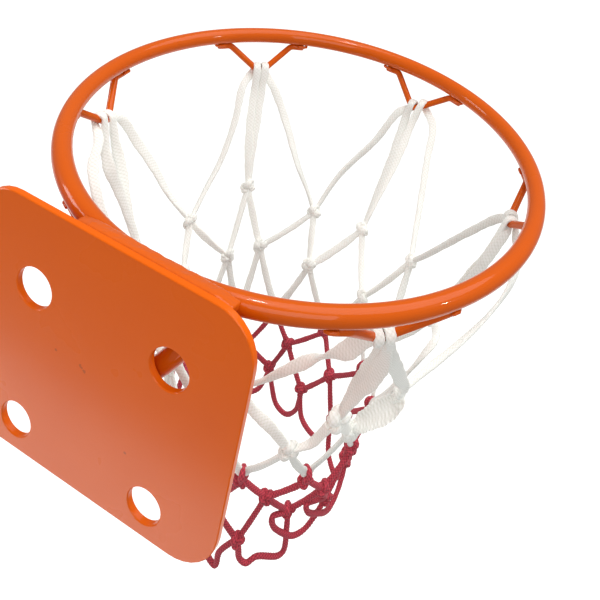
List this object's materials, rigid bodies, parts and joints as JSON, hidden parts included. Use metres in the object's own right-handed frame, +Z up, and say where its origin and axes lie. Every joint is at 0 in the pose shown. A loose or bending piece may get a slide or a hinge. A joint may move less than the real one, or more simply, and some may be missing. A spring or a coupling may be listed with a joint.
{
  "type": "mini basketball hoop",
  "caption": "Small round hoop of painted steel rod on a wall plate, with a bent rod brace, wire hooks and a knotted cord net for a ball to drop through.",
  "frame": {"origin": "middle of the plate's rear face, which lies against the wall", "axes": "+Y out from the wall along the ring's reach, +Z up, +X along the wall"},
  "size_m": [0.324, 0.3283, 0.2955],
  "materials": {
    "back_plate": "orange enamel, glossy",
    "ring_rod": "orange enamel, glossy",
    "brace_rod": "orange enamel, glossy",
    "ring_plate_weld": "weld bead under orange enamel, lumpy and glossy",
    "brace_foot_weld_upper": "weld bead under orange enamel, lumpy and glossy",
    "brace_foot_weld_lower": "weld bead under orange enamel, lumpy and glossy",
    "brace_end_weld_left": "weld bead under orange enamel, lumpy and glossy",
    "brace_end_weld_right": "weld bead under orange enamel, lumpy and glossy",
    "net_hook_1": "orange enamel, glossy",
    "net_hook_2": "orange enamel, glossy",
    "net_hook_3": "orange enamel, glossy",
    "net_hook_4": "orange enamel, glossy",
    "net_hook_5": "orange enamel, glossy",
    "net_hook_6": "orange enamel, glossy",
    "hook_weld_1_a": "weld bead under orange enamel, lumpy and glossy",
    "hook_weld_1_b": "weld bead under orange enamel, lumpy and glossy",
    "hook_weld_2_a": "weld bead under orange enamel, lumpy and glossy",
    "hook_weld_2_b": "weld bead under orange enamel, lumpy and glossy",
    "hook_weld_3_a": "weld bead under orange enamel, lumpy and glossy",
    "hook_weld_3_b": "weld bead under orange enamel, lumpy and glossy",
    "hook_weld_4_a": "weld bead under orange enamel, lumpy and glossy",
    "hook_weld_4_b": "weld bead under orange enamel, lumpy and glossy",
    "hook_weld_5_a": "weld bead under orange enamel, lumpy and glossy",
    "hook_weld_5_b": "weld bead under orange enamel, lumpy and glossy",
    "hook_weld_6_a": "weld bead under orange enamel, lumpy and glossy",
    "hook_weld_6_b": "weld bead under orange enamel, lumpy and glossy",
    "net_upper_white": "flat braided cord, matt",
    "net_lower_red": "round braided cord, matt"
  },
  "bodies": {
    "root": {"back_plate": "back_plate", "ring_rod": "ring_rod", "brace_rod": "brace_rod", "ring_plate_weld": "ring_plate_weld", "brace_foot_weld_upper": "brace_foot_weld_upper", "brace_foot_weld_lower": "brace_foot_weld_lower", "brace_end_weld_left": "brace_end_weld_left", "brace_end_weld_right": "brace_end_weld_right", "net_hook_1": "net_hook_1", "net_hook_2": "net_hook_2", "net_hook_3": "net_hook_3", "net_hook_4": "net_hook_4", "net_hook_5": "net_hook_5", "net_hook_6": "net_hook_6", "hook_weld_1_a": "hook_weld_1_a", "hook_weld_1_b": "hook_weld_1_b", "hook_weld_2_a": "hook_weld_2_a", "hook_weld_2_b": "hook_weld_2_b", "hook_weld_3_a": "hook_weld_3_a", "hook_weld_3_b": "hook_weld_3_b", "hook_weld_4_a": "hook_weld_4_a", "hook_weld_4_b": "hook_weld_4_b", "hook_weld_5_a": "hook_weld_5_a", "hook_weld_5_b": "hook_weld_5_b", "hook_weld_6_a": "hook_weld_6_a", "hook_weld_6_b": "hook_weld_6_b", "net_upper_white": "net_upper_white", "net_lower_red": "net_lower_red"}
  },
  "joints": []
}
